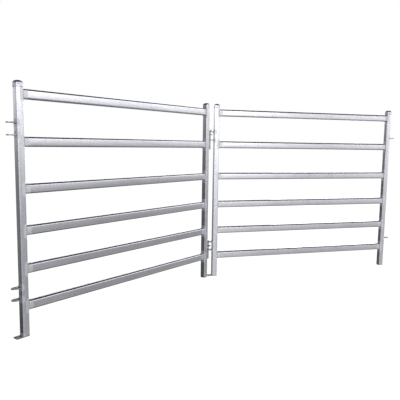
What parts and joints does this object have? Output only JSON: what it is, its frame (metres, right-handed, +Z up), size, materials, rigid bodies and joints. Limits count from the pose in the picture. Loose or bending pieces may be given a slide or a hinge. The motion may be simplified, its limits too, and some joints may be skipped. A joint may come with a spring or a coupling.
{
  "type": "livestock panel gate",
  "caption": "Hinged pair of portable livestock panels: flat-sided oval rails welded between capped square posts, joined by drop pins through lugs.",
  "frame": {"origin": "where the hinge axis of the two panels meets the floor, on the underside of the right panel's foot plate", "axes": "+X along the right panel away from the hinge, +Y to the back, +Z up; the fold is open towards -Y"},
  "size_m": [4.023, 1.3048, 1.79],
  "materials": {
    "tube": "galvanised tube, bright silver grey with faint spangle and zinc-painted weld zones",
    "cap_sheet": "pressed zinc-coated sheet, slightly purple grey",
    "lug_bar": "dull grey galvanised flat bar",
    "pin_bar": "dull zinc-plated round bar"
  },
  "bodies": {
    "right_panel": {"right_ear_post": "tube", "right_tongue_post": "tube", "right_ear_post_cap": "cap_sheet", "right_tongue_post_cap": "cap_sheet", "right_foot_plate": "lug_bar", "right_rail_1": "tube", "right_rail_2": "tube", "right_rail_3": "tube", "right_rail_4": "tube", "right_rail_5": "tube", "right_rail_6": "tube", "right_ear_1": "lug_bar", "right_ear_2": "lug_bar", "right_ear_3": "lug_bar", "right_ear_4": "lug_bar", "right_tongue_1": "lug_bar", "right_tongue_2": "lug_bar"},
    "left_panel": {"left_ear_post": "tube", "left_tongue_post": "tube", "left_ear_post_cap": "cap_sheet", "left_tongue_post_cap": "cap_sheet", "left_foot_plate": "lug_bar", "left_rail_1": "tube", "left_rail_2": "tube", "left_rail_3": "tube", "left_rail_4": "tube", "left_rail_5": "tube", "left_rail_6": "tube", "left_ear_1": "lug_bar", "left_ear_2": "lug_bar", "left_ear_3": "lug_bar", "left_ear_4": "lug_bar", "left_tongue_1": "lug_bar", "left_tongue_2": "lug_bar"},
    "lower_pin": {"lower_pin": "pin_bar"},
    "upper_pin": {"upper_pin": "pin_bar"}
  },
  "joints": [
    {"name": "panel_fold", "type": "hinge", "parent": "right_panel", "child": "left_panel", "pos_m": [0, 0, 0], "axis": [0, 0, 1], "range_deg": [-145, 75]},
    {"name": "lower_pin_lift", "type": "slide", "parent": "right_panel", "child": "lower_pin", "axis": [0, 0, 1], "range_m": [0, 0.2]},
    {"name": "upper_pin_lift", "type": "slide", "parent": "right_panel", "child": "upper_pin", "axis": [0, 0, 1], "range_m": [0, 0.2]}
  ]
}
